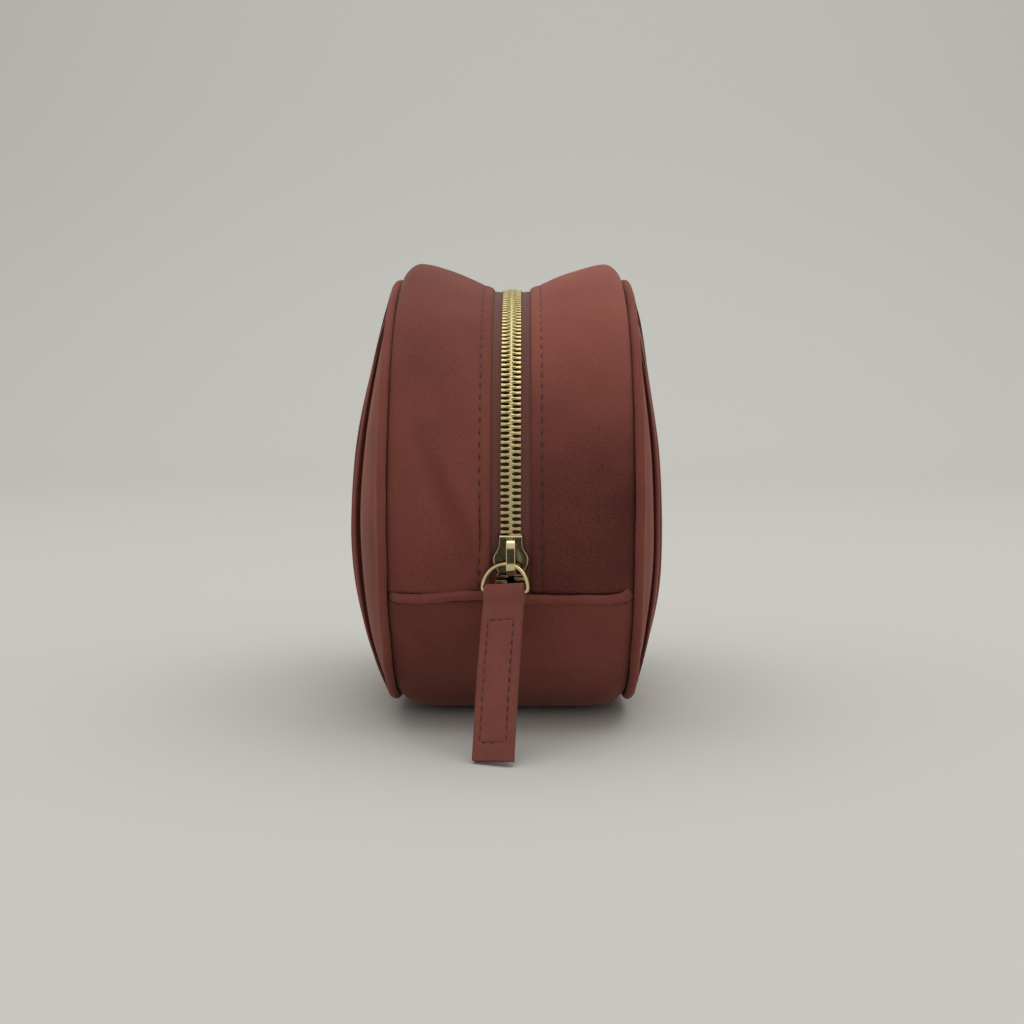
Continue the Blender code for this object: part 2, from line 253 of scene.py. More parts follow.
def strip_surface(x, angle):
    """The strip climbs from its lip to a rounded shoulder, then rolls down to the piped seam."""
    shoulder = RIM_RADIUS + SHOULDER_RISE * max(0.0, sin(angle)) ** 2
    climb = (x - LIP_HALF) / (SHOULDER_HALF - LIP_HALF)
    climb = max(0.0, climb) if climb < 0.8 else 1 - max(0.0, 1.2 - climb) ** 2 / 0.8
    roll = 0.6 * max(0.0, (x - 0.0308) / 0.0063) ** 2 + 0.35 * eased(x, 0.0362, 0.0376)
    return LIP_RADIUS + climb * (shoulder - LIP_RADIUS) - roll * (shoulder - rim(angle))


def strip_dents(side, x, angle):
    """Soft creases and hollows that filling and handling have left, in metres."""
    place = Vector((side * x * 42, angle * 3.1, side * 3.7))
    soft = 0.0007 * noise.noise(place) * eased(x, 0.011, 0.02) * (1 - eased(x, 0.03, 0.036))
    if side < 0:
        along = x + (angle - radians(4)) * -0.032
        crease = hill(along, 0.0198, 0.0032) * hill(angle, radians(3), radians(13))
        fold = hill(along, 0.0138, 0.0034) * hill(angle, radians(1), radians(11))
        soft += -0.0024 * crease + 0.0014 * fold
    return soft


def strip_place(side, u, v):
    x, drop = (value / 1000 for value in smooth_path(STRIP_ACROSS, u))
    angle = SEAM_ANGLE + v * (pi - 2 * SEAM_ANGLE)
    radius = strip_surface(x, angle)
    pucker = hill(x, TOPSTITCH_HALF, 0.0006) * 0.5 * (1 + cos(2 * pi * v * STRIP_LENGTH / TOPSTITCH_PITCH))
    radius -= drop + 0.00018 * pucker
    radius += strip_dents(side, x, angle) if x > 0.0095 else 0
    tuck = 1 - eased(min(v, 1 - v) * STRIP_LENGTH, 0.0, 0.0022)
    return on_bag(side * x, angle, radius - 0.0012 * tuck)


def strip_tone_and_painted_light(side, u, v):
    # Random patches of tone, plus painted light and shade: the right strip is brighter towards the top and
    # darker below, the left lighter at mid height and darker towards the bottom.
    angle = SEAM_ANGLE + v * (pi - 2 * SEAM_ANGLE)
    x = smooth_path(STRIP_ACROSS, u)[0] / 1000
    shade = 0.48 + 0.14 * noise.noise(Vector((side * x * 30 + 5, angle * 1.9, side)))
    if side > 0:
        return shade - 0.31 + 0.72 * eased(angle, radians(0), radians(50))
    shade += 0.1 * eased(angle, radians(45), radians(15))
    return shade - 0.12 * eased(angle, radians(6), radians(-12))


for name, side in SIDES.items():
    shape = laid_grid(
        78, 470, 0.034, STRIP_LENGTH, lambda u, v: strip_place(side, u, v),
        lambda u, v: strip_tone_and_painted_light(side, u, v),
    )
    strip = as_piece(f"{name}_gusset_strip", shape, strip_velvet, [f"{name}_zip_strip"])
    thicken(strip, CLOTH_THICKNESS)


# ---- The base strip of the gusset ----
# One padded velvet strip runs under the bag from seam to seam. It is flat where the bag stands, and
# rolls over into the groove beside each piping.

FLAT_HALF = 0.026
BASE_ACROSS = [
    (0.0, 0.0), (6.0, 0.0), (12.0, 0.0), (18.0, 0.0), (23.0, 0.0), (27.0, 0.0), (30.0, 0.0),
    (32.6, 0.05), (34.4, 0.2), (35.6, 0.4), (36.6, 0.75), (37.2, 1.3), (37.5, 2.2),
]
BASE_SWEEP = pi + 2 * SEAM_ANGLE


def base_place(u, v):
    side = -1 if u < 0.5 else 1
    x, drop = (value / 1000 for value in smooth_path(BASE_ACROSS, abs(2 * u - 1)))
    angle = SEAM_ANGLE - v * BASE_SWEEP
    crown = 1 - max(0.0, (x - FLAT_HALF) / (GUSSET_HALF - FLAT_HALF)) ** 2
    radius = outline(sin(angle), RIM_RADIUS + 0.0005 * crown, AXIS_HEIGHT - BASE_LIFT * (1 - crown))
    front = eased(AXIS_HEIGHT + radius * sin(angle), 0.002, 0.016)
    soft = noise.noise(Vector((side * x * 40 + 9, angle * 3, 2))) * 0.0007
    dent = -0.0017 * hill(side * x, -0.0115, 0.0055) * hill(v, 0.11, 0.06)
    tuck = 1 - eased(min(v, 1 - v) * RIM_RADIUS * BASE_SWEEP, 0.0, 0.002)
    return on_bag(side * x, angle, radius - drop + front * (soft + dent) - 0.0014 * tuck)


def base_tone(u, v):
    # Random patches of tone, and lighter across the right half of the strip.
    return 0.42 + 0.15 * noise.noise(Vector((u * 2.6, v * 6, 7))) + 0.16 * eased(u, 0.3, 0.7)


shape = laid_grid(96, 240, 0.078, RIM_RADIUS * BASE_SWEEP, base_place, base_tone)
base = as_piece("gusset_base_strip", shape, strip_velvet, ["base_strip"])
thicken(base, CLOTH_THICKNESS)


# ---- The seams across the gusset ----
# At each end the base strip's edge is turned in over a thin cord and topstitched just below it, which
# leaves a raised, slightly wavy ridge from piping to piping.

RIDGE_HEIGHT = 0.0031


def ridge_line(x):
    """How far the ridge wanders up from its seam at this place across the bag."""
    wave = 0.0004 * noise.noise(Vector((x * 90, 3, 0)))
    rises = 0.0009 * eased(x, -0.028, -0.01) - 0.0013 * eased(x, -0.004, 0.006)
    return rises + 0.0007 * eased(x, 0.027, 0.035) + wave


def ridge_place(end, u, v):
    x = (v - 0.5) * 2 * (GUSSET_HALF + 0.0004)
    turn = u * 2 * pi
    swell = 1 + 0.14 * noise.noise(Vector((x * 260, cos(turn), sin(turn) + 4 * end)))
    close = sqrt(max(0.0, 1 - eased(abs(x), GUSSET_HALF - 0.0012, GUSSET_HALF + 0.0004)))
    ear = hill(x, 0.0352, 0.0014) * 0.0012
    up = 0.5 * RIDGE_HEIGHT * swell * close * sin(turn) + ear * max(0.0, sin(turn))
    out = 0.00115 * swell * close * cos(turn)
    angle = SEAM_ANGLE + (ridge_line(x) + up) / RIM_RADIUS
    edge = 0.0012 * eased(abs(x), 0.0335, GUSSET_HALF)
    place = on_bag(x, angle, RIM_RADIUS + 0.0006 + out - edge)
    return Vector((x, -end * place.y, place.z)) if end > 0 else place


for name, end in {"front": -1, "rear": 1}.items():
    shape = laid_grid(
        20, 260, 0.0085, 2 * GUSSET_HALF, lambda u, v: ridge_place(end, u, v), lambda u, v: 0.6
    )
    as_piece(f"{name}_seam_fold", shape, strip_velvet, [f"{name}_seam_ridge"])


# ---- The pipings ----
# A thin cord wrapped in a bias strip of the same velvet is sewn in all round each face, so its knit
# runs slantwise along it.

PIPING_X = 0.0386
PIPING_RADIUS = 0.00148


def piping_place(side, u, v):
    turn, angle = u * 2 * pi, v * 2 * pi
    radius = PIPING_RADIUS * (1 + 0.05 * noise.noise(Vector((cos(angle), sin(angle), side * 2)) * 22))
    sway = 0.00035 * noise.noise(Vector((cos(angle) * 5, sin(angle) * 5, side * 6)))
    across = side * (PIPING_X + sway) + radius * cos(turn)
    return on_bag(across, angle, rim(angle) + radius * sin(turn))


piping_velvet = velvet("bias_velvet", VELVET_DARK, VELVET_LIGHT)
for name, side in SIDES.items():
    shape = laid_grid(
        16, 420, 2 * pi * PIPING_RADIUS, 2 * pi * RIM_RADIUS,
        lambda u, v: piping_place(side, u, v), lambda u, v: 0.6,
    )
    as_piece(f"{name}_piped_edge", shape, piping_velvet, [f"{name}_piping"])


# ---- The pleated faces ----
# Each face is velvet laid in knife pleats that run up and down. Their folds lie away from the middle,
# open where the bag is fullest, and are caught flat in the piped seam.

FACE_START = 0.0397
FACE_BULGE = {-1: 0.0139, 1: 0.0096}
FACE_SAG = 0.22
PLEAT_EDGES = {-1: (10.0, 28.0, 46.0), 1: (10.0, 31.5, 53.0)}
PLEAT_HEIGHT = 2.3


def pleated_section(edges):
    """From the middle of a face outwards: the distance, pleat height and overhang in mm."""
    path = [(0.0, PLEAT_HEIGHT - 0.1, 0.0)]
    for edge in edges:
        path += [
            (edge - 5.0, PLEAT_HEIGHT - 0.15, 0.0), (edge - 3.0, PLEAT_HEIGHT, 0.0),
            (edge - 1.5, PLEAT_HEIGHT + 0.1, 0.1), (edge - 0.7, PLEAT_HEIGHT + 0.02, 0.4),
            (edge - 0.3, PLEAT_HEIGHT - 0.3, 0.65), (edge - 0.15, PLEAT_HEIGHT - 0.75, 0.7),
            (edge - 0.3, PLEAT_HEIGHT - 1.25, 0.45), (edge - 0.6, PLEAT_HEIGHT - 1.65, -0.2),
            (edge - 0.7, -0.2, -0.9), (edge - 0.2, -0.5, -0.9), (edge + 0.5, -0.45, -0.4),
            (edge + 1.6, -0.1, 0.0), (edge + 3.4, 0.3, 0.0),
        ]
        if edge != edges[-1]:
            path += [(edge + 6.5, 1.1, 0.0), (edge + 9.5, 1.75, 0.0)]
    start = edges[-1] + 3.4
    for share, height in ((0.25, 0.85), (0.5, 1.2), (0.75, 1.0), (1.0, 0.6)):
        path.append((start + share * (69.5 - start), height, 0.0))
    return path + [(72.0, 0.2, 0.0), (74.5, 0.0, 0.0), (75.5, 0.0, 0.0), (76.0, 0.0, 0.0)]


PLEATS = {side: pleated_section(edges) for side, edges in PLEAT_EDGES.items()}
FACE_ROWS = 150


def rim_span(y):
    """The lowest and highest points of the piped seam at this distance along the bag."""
    spans = []
    for sign in (-1, 1):
        low, high = 0.0, sign * pi / 2
        for _ in range(30):
            middle = (low + high) / 2
            if rim(middle) * cos(middle) > abs(y):
                low = middle
            else:
                high = middle
        spans.append(AXIS_HEIGHT + rim(low) * sin(low))
    return spans


def face_place(side, u, v):
    direction = -1 if u < 0.5 else 1
    offset, height, overhang = (
        value / 1000 for value in smooth_path(PLEATS[side], abs(2 * u - 1))
    )
    low, high = rim_span(min(offset, 0.076))
    z = low + (high - low) * v
    open_share = max(0.0, sin(pi * v)) ** 0.8
    fold = sum(offset * 1000 > edge + 0.7 for edge in PLEAT_EDGES[side])
    waver = 0.0014 * noise.noise(Vector((z * 22, fold * 7 + direction * 3, side * 5)))
    shut = 0.14 + 0.86 * open_share * (1 - 0.35 * eased(z, 0.07, 0.13))
    y = direction * (offset + overhang * shut + waver * open_share * (1 - eased(offset, 0.058, 0.07)))
    angle = atan2(z - AXIS_HEIGHT, -y)
    share = min(1.0, hypot(y, z - AXIS_HEIGHT) / rim(angle))
    fullness = 1 - FACE_SAG * (z - AXIS_HEIGHT) / RIM_RADIUS
    dome = FACE_BULGE[side] * (1 - share**2) * fullness
    near_rim = eased(share, 0.999, 0.9)
    soft = 0.0006 * noise.noise(Vector((y * 35, z * 35, side * 8))) * near_rim
    x = FACE_START + dome + soft + height * shut * (0.12 + 0.88 * near_rim) * eased(share, 1.0, 0.96)
    inside = 1 - 0.0006 / RIM_RADIUS
    return Vector((side * x, y * inside, AXIS_HEIGHT + (z - AXIS_HEIGHT) * inside))


def face_nap(side, u, v):
    return 0.5 + 0.18 * noise.noise(Vector((u * 7, v * 2.5, side * 3)))


face_velvet = velvet("pleated_velvet", VELVET_DARK, VELVET_LIGHT)
for name, side in SIDES.items():
    shape = laid_grid(
        3 * 2 * (len(PLEATS[side]) - 1), FACE_ROWS, 0.19, 0.152,
        lambda u, v: face_place(side, u, v), lambda u, v: face_nap(side, u, v),
    )
    face = as_piece(f"{name}_pleated_face", shape, face_velvet, [f"{name}_face"], sharp=180)
    thicken(face, 0.0007)


# ---- The zip's tapes ----
# Each tape is woven polyester, ribbed across, with the teeth clamped on a corded edge. The fold of the
# strip covers all but its inner few millimetres.

TAPE_END = radians(-18.6)
PARTED = 0.0016
# From under the teeth, over the corded edge, to the hidden edge: x and lift in mm.
TAPE_ACROSS = [
    (0.25, -1.0), (1.2, -1.0), (2.2, -0.8), (2.8, 0.0), (3.1, 0.35), (3.4, 0.3), (3.8, 0.15),
    (4.6, 0.2), (5.6, 0.3), (7.0, 0.2), (9.0, 0.0), (12.5, -0.05),
]
TAPE_LENGTH = ZIP_RADIUS * (pi - 2 * TAPE_END)


def tape_place(side, u, v):
    x, lift = (value / 1000 for value in smooth_path(TAPE_ACROSS, u))
    angle = TAPE_END + v * (pi - 2 * TAPE_END)
    apart = PARTED * (1 - eased(angle, radians(-14.5), radians(-10))) * (1 - eased(x, 0.004, 0.008))
    return on_bag(side * (x + apart), angle, ZIP_RADIUS + 0.0003 + lift)


# A wave texture of scale 1 repeats over this many metres.
WAVE_PERIOD = 0.314
RIB_PITCH = 0.0006
WARP_PITCH = 0.00045


def woven_tape(name, dark, light):
    """Woven polyester tape: ribs 0.6 mm apart run across it, over warp yarns 0.45 mm apart."""
    look, tree = new_look(name)
    layout = node(tree, "UVMap", uv_map="cloth")
    ribs = node(
        tree, "TexWave",
        {"Vector": layout.outputs[0], "Scale": WAVE_PERIOD / RIB_PITCH, "Distortion": 0.3},
        bands_direction="Y",
    )
    warp = node(
        tree, "TexWave",
        {"Vector": layout.outputs[0], "Scale": WAVE_PERIOD / WARP_PITCH, "Distortion": 0.4},
        bands_direction="X",
    )
    weave = node(tree, "Math", {0: ribs.outputs["Fac"], 1: warp.outputs["Fac"]}, operation="MULTIPLY")
    colour = node(tree, "Mix", {"Factor": weave.outputs[0], "A": linear(dark), "B": linear(light)},
                  data_type="RGBA")
    bump = node(tree, "Bump", {"Height": weave.outputs[0], "Strength": 0.6, "Distance": 0.00015})
    shader = node(
        tree, "BsdfPrincipled",
        {"Base Color": colour.outputs["Result"], "Normal": bump.outputs[0], "Roughness": 0.75,
         "Specular IOR Level": 0.25, "Sheen Weight": 0.1},
    )
    node(tree, "OutputMaterial", {"Surface": shader.outputs[0]})
    return look


tape_weave = woven_tape("woven_tape", "#542b24", "#8f584c")
for name, side in SIDES.items():
    shape = laid_grid(32, 300, 0.011, TAPE_LENGTH, lambda u, v: tape_place(side, u, v))
    tape = as_piece(f"{name}_woven_tape", shape, tape_weave, [f"{name}_zip_tape"])
    thicken(tape, 0.0005)


# ---- The stitching of the gusset ----
# Bonded polyester thread lies sunk in the pile: a row down each side of the zip and one under each seam
# ridge. Its colour is much darker than the velvet, as painted shade of the recess it lies in.

THREAD_RADIUS = 0.00025
TWIST_PITCH = 0.0005
STITCH_HALF = 0.0009


def thread(name, dark, light):
    """Bonded polyester thread: smooth, with a twist every 0.5 mm that gives it a faint sheen."""
    look, tree = new_look(name)
    place = node(tree, "TexCoord")
    twist = node(tree, "TexWave", {"Vector": place.outputs["Object"], "Scale": WAVE_PERIOD / TWIST_PITCH},
                 bands_direction="DIAGONAL")
    colour = node(tree, "Mix", {"Factor": twist.outputs["Fac"], "A": linear(dark), "B": linear(light)},
                  data_type="RGBA")
    bump = node(tree, "Bump", {"Height": twist.outputs["Fac"], "Strength": 0.3, "Distance": 0.00005})
    shader = node(tree, "BsdfPrincipled",
                  {"Base Color": colour.outputs["Result"], "Normal": bump.outputs[0], "Roughness": 0.55})
    node(tree, "OutputMaterial", {"Surface": shader.outputs[0]})
    return look


def sewn_row(name, stitches, look, body="bag"):
    """One thread's stitches, each from one point to another with a way out of the cloth."""
    shape = bmesh.new()
    for start, end, out in stitches:
        along = end - start
        across = along.normalized().cross(out)
        turn = Matrix((along.normalized(), across, out)).transposed().to_4x4()
        size = Matrix.Diagonal((along.length / 2, THREAD_RADIUS, THREAD_RADIUS * 0.8, 1))
        bmesh.ops.create_uvsphere(
            shape, u_segments=8, v_segments=6, radius=1,
            matrix=Matrix.Translation((start + end) / 2) @ turn @ size @ Matrix.Rotation(pi / 2, 4, "Y"),
        )
    return as_piece(name, shape, look, body=body, sharp=180)


# The thread's near-black colours are painted shade of the sunk stitches.
thread_painted_shade = thread("thread_painted_shade", "#1e0c0a", "#3a1a17")
for name, side in SIDES.items():
    row = []
    for number in range(1, int(STRIP_LENGTH / TOPSTITCH_PITCH)):
        middle = SEAM_ANGLE + number * TOPSTITCH_PITCH / ZIP_RADIUS
        ends = [middle - STITCH_HALF / ZIP_RADIUS, middle + STITCH_HALF / ZIP_RADIUS]
        place = [
            on_bag(side * TOPSTITCH_HALF, angle, strip_surface(TOPSTITCH_HALF, angle) - 0.00042)
            for angle in ends
        ]
        row.append((*place, on_bag(0, middle, 1) - on_bag(0, middle, 0)))
    sewn_row(f"{name}_topstitching", row, thread_painted_shade)

RIDGE_STITCH_PITCH = 0.0031
RIDGE_STITCHES = 23
for name, end in {"front": -1, "rear": 1}.items():
    row = []
    for number in range(RIDGE_STITCHES):
        middle = (number - RIDGE_STITCHES // 2) * RIDGE_STITCH_PITCH
        place = []
        for x in (middle - STITCH_HALF, middle + STITCH_HALF):
            angle = SEAM_ANGLE + (ridge_line(x) - 0.0019) / RIM_RADIUS
            spot = on_bag(x, angle, RIM_RADIUS + 0.0003)
            place.append(Vector((x, -end * spot.y, spot.z)))
        row.append((*place, Vector((0, end * cos(SEAM_ANGLE), sin(SEAM_ANGLE)))))
    sewn_row(f"{name}_seam_stitching", row, thread_painted_shade)


# ---- The zip's teeth ----
# Stamped brass teeth clamped on the tapes' corded edges, in two rows that mesh half a pitch apart.
# Below the slider the rows part.

TOOTH_PITCH = 0.0019
TOOTH_OUTLINE = [
    (3.05, 0.55), (2.4, 0.5), (1.5, 0.38), (1.05, 0.46),
    (0.6, 0.62), (0.15, 0.56), (-0.3, 0.42), (-0.5, 0.22),
]
TOOTH_HALF_HEIGHT = 0.00115
SLIDER_ANGLE = radians(-8)


def parting(angle):
    """How far each row has moved out where the zip is open below the slider."""
    return PARTED * (1 - eased(angle, SLIDER_ANGLE - radians(6.5), SLIDER_ANGLE - radians(2)))


def brass_tooth():
    """One tooth, pointing to -X, with the raised head that locks into the other row."""
    shape = bmesh.new()
    outline_points = TOOTH_OUTLINE + [(x, -y) for x, y in reversed(TOOTH_OUTLINE)]
    corners = [shape.verts.new((x / 1000, y / 1000, -TOOTH_HALF_HEIGHT)) for x, y in outline_points]
    face = shape.faces.new(corners)
    raised = bmesh.ops.extrude_face_region(shape, geom=[face])["geom"]
    tops = [item for item in raised if isinstance(item, bmesh.types.BMVert)]
    bmesh.ops.translate(shape, verts=tops, vec=(0, 0, 2 * TOOTH_HALF_HEIGHT))
    head_size = Matrix.Diagonal((0.0012, 0.00052, 0.0007, 1))
    head = Matrix.Translation((0.0008, 0, TOOTH_HALF_HEIGHT)) @ head_size
    bmesh.ops.create_cube(shape, size=1, matrix=head)
    bmesh.ops.recalc_face_normals(shape, faces=shape.faces)
    bmesh.ops.bevel(
        shape, geom=shape.edges, offset=0.00014, offset_type="OFFSET", segments=2, profile=0.5,
        affect="EDGES", material=-1, clamp_overlap=True,
    )
    tooth = bpy.data.meshes.new("brass_tooth")
    shape.to_mesh(tooth)
    shape.free()
    return tooth


def polished_brass(name, pale, deep, roughness, paints_reflection=False):
    """Polished brass, pale gold where it is bright, with fine rubbing marks and a little tarnish.

    For the slider, a per-vertex value paints reflection into the colour: painted dark reflection where it
    is low, painted highlights where it is high.
    """
    look, tree = new_look(name)
    place = node(tree, "TexCoord")
    tarnish = node(tree, "TexNoise", {"Vector": place.outputs["Object"], "Scale": 700.0, "Detail": 4.0})
    rubbed = node(tree, "Mapping", {"Vector": place.outputs["Object"], "Scale": (1, 1, 0.12)})
    marks = node(tree, "TexNoise", {"Vector": rubbed.outputs[0], "Scale": 9000.0, "Detail": 2.0})
    bright = tarnish.outputs["Fac"]
    if paints_reflection:
        # Painted reflection: the mesh's per-vertex value sets how dark or bright the plating shows.
        painted_reflection = node(tree, "Attribute", attribute_name="tone_and_painted_light")
        bright = node(tree, "Math", {0: tarnish.outputs["Fac"], 1: 0.1, 2: painted_reflection.outputs["Fac"]},
                      operation="MULTIPLY_ADD", use_clamp=True).outputs[0]
    colour = node(tree, "Mix", {"Factor": bright, "A": linear(deep), "B": linear(pale)}, data_type="RGBA")
    dull = node(tree, "Math", {0: tarnish.outputs["Fac"], 1: 0.16, 2: roughness - 0.08},
                operation="MULTIPLY_ADD")
    bump = node(tree, "Bump", {"Height": marks.outputs["Fac"], "Strength": 0.05, "Distance": 0.00002})
    shader = node(
        tree, "BsdfPrincipled",
        {"Base Color": colour.outputs["Result"], "Roughness": dull.outputs[0], "Metallic": 1.0,
         "Normal": bump.outputs[0]},
    )
    node(tree, "OutputMaterial", {"Surface": shader.outputs[0]})
    return look


teeth_brass = polished_brass("stamped_brass", "#d9cc9a", "#a3925f", 0.32)
tooth = brass_tooth()
row_start = radians(-16.2)
for name, side in SIDES.items():
    shape = bmesh.new()
    count = int((pi - 2 * row_start) * ZIP_RADIUS / TOOTH_PITCH)
    for number in range(count):
        angle = row_start + (number + (0.25 if side < 0 else 0.75)) * TOOTH_PITCH / ZIP_RADIUS
        before = len(shape.verts)
        shape.from_mesh(tooth)
        shape.verts.ensure_lookup_table()
        out = on_bag(0, angle, 1) - on_bag(0, angle, 0)
        across = Vector((side, 0, 0))
        turn = Matrix((across, out.cross(across), out)).transposed().to_4x4()
        place = Matrix.Translation(on_bag(side * parting(angle), angle, ZIP_RADIUS))
        bmesh.ops.transform(shape, matrix=place @ turn, verts=shape.verts[before:])
    as_piece(f"{name}_brass_teeth", shape, teeth_brass, [f"{name}_teeth_row"], sharp=30)
bpy.data.meshes.remove(tooth)


# ---- The slider ----
# Die-cast and gold-plated: two plates with turned-in edges round the teeth, and a bridge whose rounded
# lower end holds the D-ring.

SLIDER_LENGTH = 0.0121
SLIDER_WIDTHS = [(3.45,), (3.5,), (3.55,), (3.8,), (4.5,), (5.2,), (5.35,), (5.1,), (4.5,), (3.9,), (3.5,)]
PLATE_SECTION = [
    (0.0, 2.62), (0.3, 2.6), (0.55, 2.55), (0.75, 2.47), (0.86, 2.38), (0.91, 2.38), (0.945, 2.4),
    (0.97, 2.33), (0.99, 2.15), (1.0, 1.9), (1.0, 1.4), (1.0, 0.9), (0.985, 0.76), (0.92, 0.72),
]
PLATE_ENDS = [
    (0.0, 0.9), (0.0, 1.4), (0.0, 2.0), (0.008, 2.25), (0.03, 2.4), (0.06, 2.5), (0.12, 2.8), (0.3, 3.0)
]


def plate_end(v):
    """Along the slider from its upper end: the share of its length, and the height it is held to."""
    near = min(v, 1 - v) / 0.3
    if near >= 1:
        return v, 3.0
    share, height = smooth_path(PLATE_ENDS, near)
    return (share if v < 0.5 else 1 - share), height


def plate_place(top, u, v):
    share, held = plate_end(v)
    half = smooth_path(SLIDER_WIDTHS, min(1.0, max(0.0, share)))[0] / 1000
    across, height = smooth_path(PLATE_SECTION, abs(2 * u - 1))
    height = min(height, held) / 1000
    angle = SLIDER_ANGLE + (0.5 - share) * SLIDER_LENGTH / ZIP_RADIUS
    x = across * half * (-1 if u < 0.5 else 1)
    return on_bag(x, angle, ZIP_RADIUS + (height if top else -height))


def plate_painted_reflection(u, v):
    """Painted highlights along the rims and a painted highlight streak beside the bridge, painted dark
    reflection in between.
    """
    across = abs(2 * u - 1)
    rims = max(hill(across, 0.53, 0.1), hill(min(v, 1 - v), 0.13, 0.045))
    return min(1.0, 0.02 + 0.95 * rims + 0.25 * hill(u, 0.57, 0.018) * eased(v, 0.25, 0.45))


# The near-black deep colour is painted dark reflection; the pale colour serves the painted highlights on
# the rims.
slider_brass = polished_brass("gold_plate_painted_reflection", "#e2d2a4", "#1c150b", 0.14, paints_reflection=True)
for name, top in {"slider_top_plate": True, "slider_under_plate": False}.items():
    shape = laid_grid(80, 90, 0.011, SLIDER_LENGTH, lambda u, v: plate_place(top, u, v), plate_painted_reflection)
    plate = as_piece(name, shape, slider_brass, ["slider_body"], body="slider", sharp=180)
    thicken(plate, 0.0004)

BRIDGE_LINE = [
    (5.35, 2.2), (5.3, 3.2), (4.95, 4.4), (4.1, 5.3), (2.6, 5.85), (0.8, 6.0), (-1.0, 6.0),
    (-2.6, 5.85), (-3.9, 5.3), (-4.6, 4.4), (-4.75, 3.4), (-4.6, 2.3),
]


def rounded_section(u, half_width, half_thickness, corner):
    """A point at this share of the way round a rectangle whose corners have this radius."""
    flat, wall, arc = 2 * (half_width - corner), 2 * (half_thickness - corner), corner * pi / 2
    walk = u * 2 * (flat + wall + 2 * arc)
    x, y, heading = half_width, 0.0, pi / 2
    for index, length in enumerate((wall / 2, arc, flat, arc, wall, arc, flat, arc, wall / 2)):
        step = min(length, walk)
        walk -= step
        if index % 2:
            turned = heading + step / corner
            x += corner * (sin(turned) - sin(heading))
            y += corner * (cos(heading) - cos(turned))
            heading = turned
        else:
            x += step * cos(heading)
            y += step * sin(heading)
    return x, y


def bridge_place(u, v):
    up, out = (value / 1000 for value in smooth_path(BRIDGE_LINE, v))
    ahead = smooth_path(BRIDGE_LINE, min(1.0, v + 0.01))
    behind = smooth_path(BRIDGE_LINE, max(0.0, v - 0.01))
    way = Vector((ahead[0] - behind[0], ahead[1] - behind[1])).normalized()
    lug = hill(v, 0.86, 0.14)
    across, thick = rounded_section(u, 0.0014 + 0.00012 * lug, 0.00045 + 0.0002 * lug, 0.0003)
    up, out = up - way.y * thick, out + way.x * thick
    angle = SLIDER_ANGLE
    return on_bag(across, angle, ZIP_RADIUS + out) + up * Vector((0, sin(angle), cos(angle)))


def bridge_painted_reflection(u, v):
    """Painted reflection: coppery at the upper foot, then a painted highlight, painted dark reflection in
    the flat, and a painted highlight again on the lug.
    """
    flat = eased(v, 0.31, 0.35) * (1 - eased(v, 0.54, 0.58)) * (0.59 < u < 0.91)
    return max(0.03, 0.9 - 0.87 * flat - 0.4 * (1 - eased(v, 0.17, 0.24)))


shape = laid_grid(64, 110, 0.0075, 0.018, bridge_place, bridge_painted_reflection)
bmesh.ops.recalc_face_normals(shape, faces=shape.faces)
as_piece("slider_lug_bridge", shape, slider_brass, ["slider_bridge"], "slider", 180)


# ---- The D-ring ----
# Bent from round brass wire. It hangs through the bridge and its straight side runs through the tab.

WIRE_RADIUS = 0.00062
RING_RADIUS = 0.0071
RING_CORNER = 0.0009
RING_LEAN = radians(12)
PULL_TILT = radians(3.4)
PULL_TWIST = radians(19)
PULL_SHIFT = Vector((-0.0013, 0, 0.0002))
ring_pivot = on_bag(0, SLIDER_ANGLE - radians(1.5), ZIP_RADIUS + 0.0044)


def hanging(lean):
    """Directions down along a hanging piece, out of its back and across it, tilted and twisted."""
    down = Vector((0, -sin(lean), -cos(lean)))
    back = Vector((0, cos(lean), -sin(lean)))
    turned = Matrix((down, back, Vector((1, 0, 0)))).transposed() @ Matrix.Rotation(PULL_TILT, 3, "Y")
    return turned @ Matrix.Rotation(PULL_TWIST, 3, "X")


def ring_path():
    """Points round the ring in its own plane: down from the top of its arch, and across."""
    centre = RING_RADIUS - RING_CORNER
    arch = [
        (RING_RADIUS * (1 - cos(turn * pi / 40)), RING_RADIUS * sin(turn * pi / 40))
        for turn in range(-20, 21)
    ]
    corner = [
        (RING_RADIUS + RING_CORNER * sin(turn * pi / 12), centre + RING_CORNER * cos(turn * pi / 12))
        for turn in range(1, 7)
    ]
    bar = [(RING_RADIUS + RING_CORNER, centre * (1 - step / 6)) for step in range(1, 12)]
    other = [(down, -across) for down, across in reversed(corner)]
    return arch + corner + bar + other + arch[:1]


RING_POINTS = ring_path()
ring_frame = hanging(RING_LEAN)


def ring_place(u, v):
    down, across = smooth_path(RING_POINTS, v)
    ahead = smooth_path(RING_POINTS, min(1.0, v + 0.002))
    behind = smooth_path(RING_POINTS, max(0.0, v - 0.002))
    way = Vector((ahead[0] - behind[0], ahead[1] - behind[1])).normalized()
    side, back = WIRE_RADIUS * cos(u * 2 * pi), WIRE_RADIUS * sin(u * 2 * pi)
    spot = Vector((down - way.y * side, back, across + way.x * side))
    return ring_pivot + PULL_SHIFT + ring_frame @ spot


ring_brass = polished_brass("polished_wire", "#e6d8ac", "#b8a46c", 0.1)
shape = laid_grid(20, 260, 0.004, 0.035, ring_place)
bmesh.ops.recalc_face_normals(shape, faces=shape.faces)
as_piece("puller_ring", shape, ring_brass, ["d_ring"], body="ring", sharp=180)


# ---- The pull tab ----
# A velvet strap folded over the ring's straight side, its two plies turned in at the edges and sewn
# together with a rectangle of stitches.

